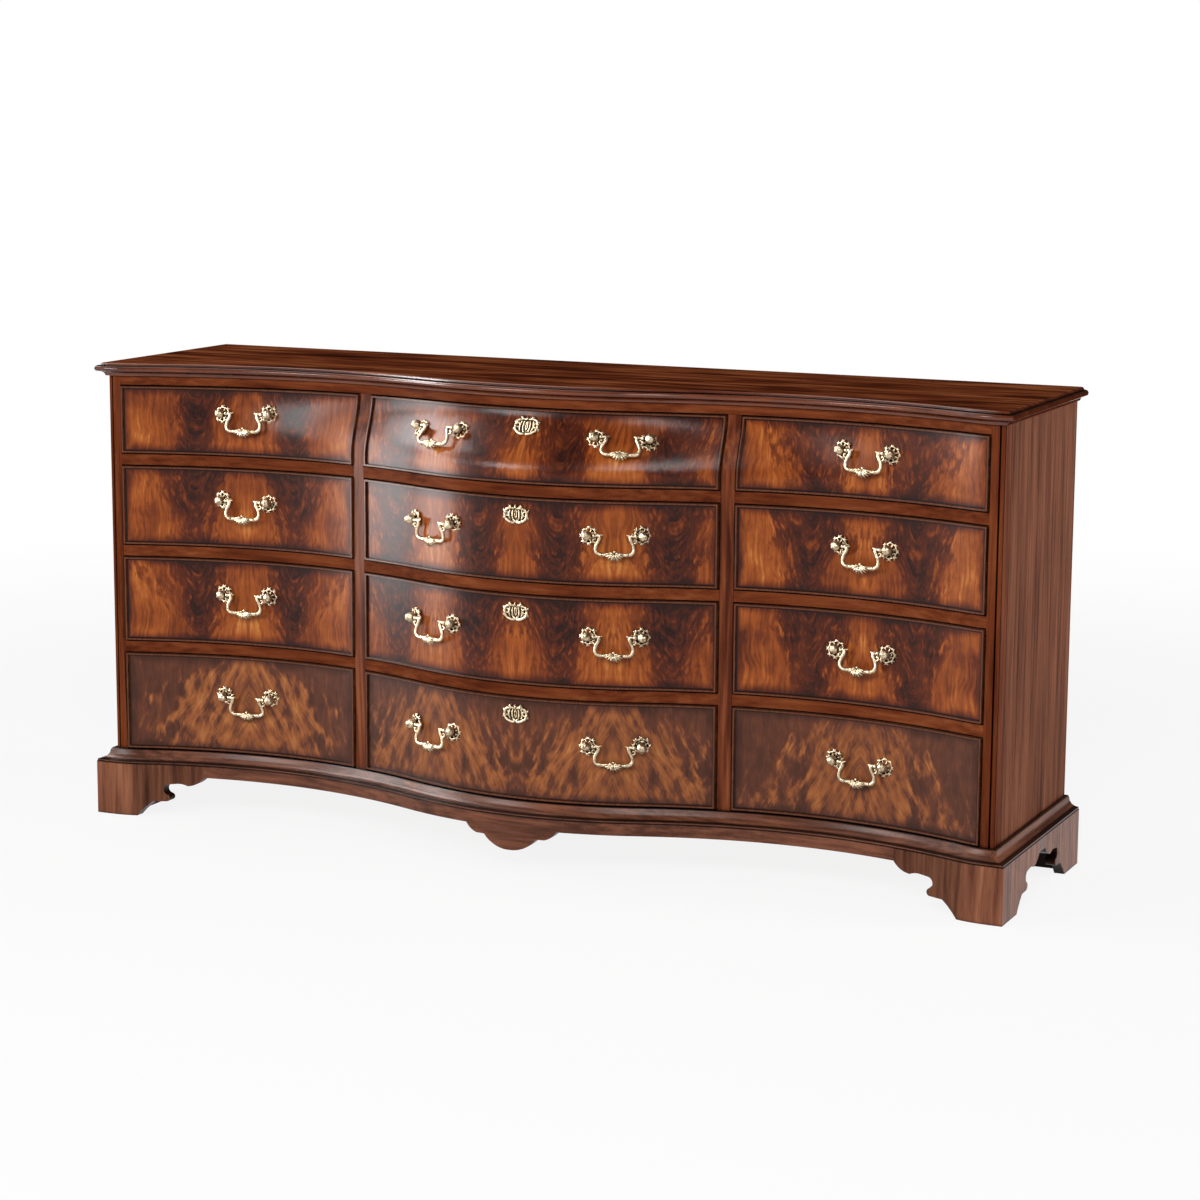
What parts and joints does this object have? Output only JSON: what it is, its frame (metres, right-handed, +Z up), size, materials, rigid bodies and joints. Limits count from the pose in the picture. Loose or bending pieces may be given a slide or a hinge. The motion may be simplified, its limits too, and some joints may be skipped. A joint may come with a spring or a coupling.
{
  "type": "dresser",
  "caption": "Long serpentine-front dresser with graduated drawers, an ogee-fronted top row, swinging bail pulls, pierced escutcheons, a moulded top and scrolled bracket feet.",
  "frame": {"origin": "on the floor under the middle of the outline", "axes": "+X along the width, to the right when facing the front; -Y towards the front; +Z up"},
  "size_m": [1.907, 0.5245, 0.914],
  "materials": {
    "polished_mahogany": "lacquered",
    "crotch_mahogany": "lacquered crotch veneer",
    "drawer_lining": "bare",
    "back_board": "stained",
    "antique_brass": "antiqued"
  },
  "bodies": {
    "case": {"top_board": "polished_mahogany", "side_panels": "polished_mahogany", "front_frame": "polished_mahogany", "partitions": "polished_mahogany", "dust_boards": "drawer_lining", "back_panel": "back_board", "base_moulding": "polished_mahogany", "bracket_feet": "polished_mahogany"},
    "drawer_bottom_left": {"drawer_front_bottom_left": "crotch_mahogany", "drawer_box_bottom_left": "drawer_lining", "pull_fittings_bottom_left": "antique_brass"},
    "bail_bottom_left": {"bail_bottom_left": "antique_brass"},
    "drawer_bottom_centre": {"drawer_front_bottom_centre": "crotch_mahogany", "drawer_box_bottom_centre": "drawer_lining", "pull_fittings_bottom_centre": "antique_brass"},
    "bail_bottom_centre_left": {"bail_bottom_centre_left": "antique_brass"},
    "bail_bottom_centre_right": {"bail_bottom_centre_right": "antique_brass"},
    "drawer_bottom_right": {"drawer_front_bottom_right": "crotch_mahogany", "drawer_box_bottom_right": "drawer_lining", "pull_fittings_bottom_right": "antique_brass"},
    "bail_bottom_right": {"bail_bottom_right": "antique_brass"},
    "drawer_lower_left": {"drawer_front_lower_left": "crotch_mahogany", "drawer_box_lower_left": "drawer_lining", "pull_fittings_lower_left": "antique_brass"},
    "bail_lower_left": {"bail_lower_left": "antique_brass"},
    "drawer_lower_centre": {"drawer_front_lower_centre": "crotch_mahogany", "drawer_box_lower_centre": "drawer_lining", "pull_fittings_lower_centre": "antique_brass"},
    "bail_lower_centre_left": {"bail_lower_centre_left": "antique_brass"},
    "bail_lower_centre_right": {"bail_lower_centre_right": "antique_brass"},
    "drawer_lower_right": {"drawer_front_lower_right": "crotch_mahogany", "drawer_box_lower_right": "drawer_lining", "pull_fittings_lower_right": "antique_brass"},
    "bail_lower_right": {"bail_lower_right": "antique_brass"},
    "drawer_upper_left": {"drawer_front_upper_left": "crotch_mahogany", "drawer_box_upper_left": "drawer_lining", "pull_fittings_upper_left": "antique_brass"},
    "bail_upper_left": {"bail_upper_left": "antique_brass"},
    "drawer_upper_centre": {"drawer_front_upper_centre": "crotch_mahogany", "drawer_box_upper_centre": "drawer_lining", "pull_fittings_upper_centre": "antique_brass"},
    "bail_upper_centre_left": {"bail_upper_centre_left": "antique_brass"},
    "bail_upper_centre_right": {"bail_upper_centre_right": "antique_brass"},
    "drawer_upper_right": {"drawer_front_upper_right": "crotch_mahogany", "drawer_box_upper_right": "drawer_lining", "pull_fittings_upper_right": "antique_brass"},
    "bail_upper_right": {"bail_upper_right": "antique_brass"},
    "drawer_top_left": {"drawer_front_top_left": "crotch_mahogany", "drawer_box_top_left": "drawer_lining", "pull_fittings_top_left": "antique_brass"},
    "bail_top_left": {"bail_top_left": "antique_brass"},
    "drawer_top_centre": {"drawer_front_top_centre": "crotch_mahogany", "drawer_box_top_centre": "drawer_lining", "pull_fittings_top_centre": "antique_brass"},
    "bail_top_centre_left": {"bail_top_centre_left": "antique_brass"},
    "bail_top_centre_right": {"bail_top_centre_right": "antique_brass"},
    "drawer_top_right": {"drawer_front_top_right": "crotch_mahogany", "drawer_box_top_right": "drawer_lining", "pull_fittings_top_right": "antique_brass"},
    "bail_top_right": {"bail_top_right": "antique_brass"}
  },
  "joints": [
    {"name": "drawer_bottom_left_slide", "type": "slide", "parent": "case", "child": "drawer_bottom_left", "axis": [0, -1, 0], "range_m": [0, 0.27]},
    {"name": "bail_bottom_left_swing", "type": "hinge", "parent": "drawer_bottom_left", "child": "bail_bottom_left", "pos_m": [-0.64752, -0.143, 0.248], "axis": [-0.9943, -0.1067, 0], "range_deg": [0, 95]},
    {"name": "drawer_bottom_centre_slide", "type": "slide", "parent": "case", "child": "drawer_bottom_centre", "axis": [0, -1, 0], "range_m": [0, 0.27]},
    {"name": "bail_bottom_centre_left_swing", "type": "hinge", "parent": "drawer_bottom_centre", "child": "bail_bottom_centre_left", "pos_m": [-0.19313, -0.21422, 0.248], "axis": [-0.9536, 0.3011, 0], "range_deg": [0, 95]},
    {"name": "bail_bottom_centre_right_swing", "type": "hinge", "parent": "drawer_bottom_centre", "child": "bail_bottom_centre_right", "pos_m": [0.19313, -0.21422, 0.248], "axis": [-0.9536, -0.3011, 0], "range_deg": [0, 95]},
    {"name": "drawer_bottom_right_slide", "type": "slide", "parent": "case", "child": "drawer_bottom_right", "axis": [0, -1, 0], "range_m": [0, 0.27]},
    {"name": "bail_bottom_right_swing", "type": "hinge", "parent": "drawer_bottom_right", "child": "bail_bottom_right", "pos_m": [0.64752, -0.143, 0.248], "axis": [-0.9943, 0.1067, 0], "range_deg": [0, 95]},
    {"name": "drawer_lower_left_slide", "type": "slide", "parent": "case", "child": "drawer_lower_left", "axis": [0, -1, 0], "range_m": [0, 0.27]},
    {"name": "bail_lower_left_swing", "type": "hinge", "parent": "drawer_lower_left", "child": "bail_lower_left", "pos_m": [-0.64752, -0.143, 0.4565], "axis": [-0.9943, -0.1067, 0], "range_deg": [0, 95]},
    {"name": "drawer_lower_centre_slide", "type": "slide", "parent": "case", "child": "drawer_lower_centre", "axis": [0, -1, 0], "range_m": [0, 0.27]},
    {"name": "bail_lower_centre_left_swing", "type": "hinge", "parent": "drawer_lower_centre", "child": "bail_lower_centre_left", "pos_m": [-0.19313, -0.21422, 0.4565], "axis": [-0.9536, 0.3011, 0], "range_deg": [0, 95]},
    {"name": "bail_lower_centre_right_swing", "type": "hinge", "parent": "drawer_lower_centre", "child": "bail_lower_centre_right", "pos_m": [0.19313, -0.21422, 0.4565], "axis": [-0.9536, -0.3011, 0], "range_deg": [0, 95]},
    {"name": "drawer_lower_right_slide", "type": "slide", "parent": "case", "child": "drawer_lower_right", "axis": [0, -1, 0], "range_m": [0, 0.27]},
    {"name": "bail_lower_right_swing", "type": "hinge", "parent": "drawer_lower_right", "child": "bail_lower_right", "pos_m": [0.64752, -0.143, 0.4565], "axis": [-0.9943, 0.1067, 0], "range_deg": [0, 95]},
    {"name": "drawer_upper_left_slide", "type": "slide", "parent": "case", "child": "drawer_upper_left", "axis": [0, -1, 0], "range_m": [0, 0.27]},
    {"name": "bail_upper_left_swing", "type": "hinge", "parent": "drawer_upper_left", "child": "bail_upper_left", "pos_m": [-0.64752, -0.143, 0.646], "axis": [-0.9943, -0.1067, 0], "range_deg": [0, 95]},
    {"name": "drawer_upper_centre_slide", "type": "slide", "parent": "case", "child": "drawer_upper_centre", "axis": [0, -1, 0], "range_m": [0, 0.27]},
    {"name": "bail_upper_centre_left_swing", "type": "hinge", "parent": "drawer_upper_centre", "child": "bail_upper_centre_left", "pos_m": [-0.19313, -0.21422, 0.646], "axis": [-0.9536, 0.3011, 0], "range_deg": [0, 95]},
    {"name": "bail_upper_centre_right_swing", "type": "hinge", "parent": "drawer_upper_centre", "child": "bail_upper_centre_right", "pos_m": [0.19313, -0.21422, 0.646], "axis": [-0.9536, -0.3011, 0], "range_deg": [0, 95]},
    {"name": "drawer_upper_right_slide", "type": "slide", "parent": "case", "child": "drawer_upper_right", "axis": [0, -1, 0], "range_m": [0, 0.27]},
    {"name": "bail_upper_right_swing", "type": "hinge", "parent": "drawer_upper_right", "child": "bail_upper_right", "pos_m": [0.64752, -0.143, 0.646], "axis": [-0.9943, 0.1067, 0], "range_deg": [0, 95]},
    {"name": "drawer_top_left_slide", "type": "slide", "parent": "case", "child": "drawer_top_left", "axis": [0, -1, 0], "range_m": [0, 0.27]},
    {"name": "bail_top_left_swing", "type": "hinge", "parent": "drawer_top_left", "child": "bail_top_left", "pos_m": [-0.64708, -0.13611, 0.8195], "axis": [-0.99, -0.1407, -0.0102], "range_deg": [0, 95]},
    {"name": "drawer_top_centre_slide", "type": "slide", "parent": "case", "child": "drawer_top_centre", "axis": [0, -1, 0], "range_m": [0, 0.27]},
    {"name": "bail_top_centre_left_swing", "type": "hinge", "parent": "drawer_top_centre", "child": "bail_top_centre_left", "pos_m": [-0.19201, -0.18354, 0.82477], "axis": [-0.9669, 0.255, -0.0095], "range_deg": [0, 95]},
    {"name": "bail_top_centre_right_swing", "type": "hinge", "parent": "drawer_top_centre", "child": "bail_top_centre_right", "pos_m": [0.19201, -0.18354, 0.82477], "axis": [-0.9669, -0.255, 0.0095], "range_deg": [0, 95]},
    {"name": "drawer_top_right_slide", "type": "slide", "parent": "case", "child": "drawer_top_right", "axis": [0, -1, 0], "range_m": [0, 0.27]},
    {"name": "bail_top_right_swing", "type": "hinge", "parent": "drawer_top_right", "child": "bail_top_right", "pos_m": [0.64708, -0.13611, 0.8195], "axis": [-0.99, 0.1407, 0.0102], "range_deg": [0, 95]}
  ]
}
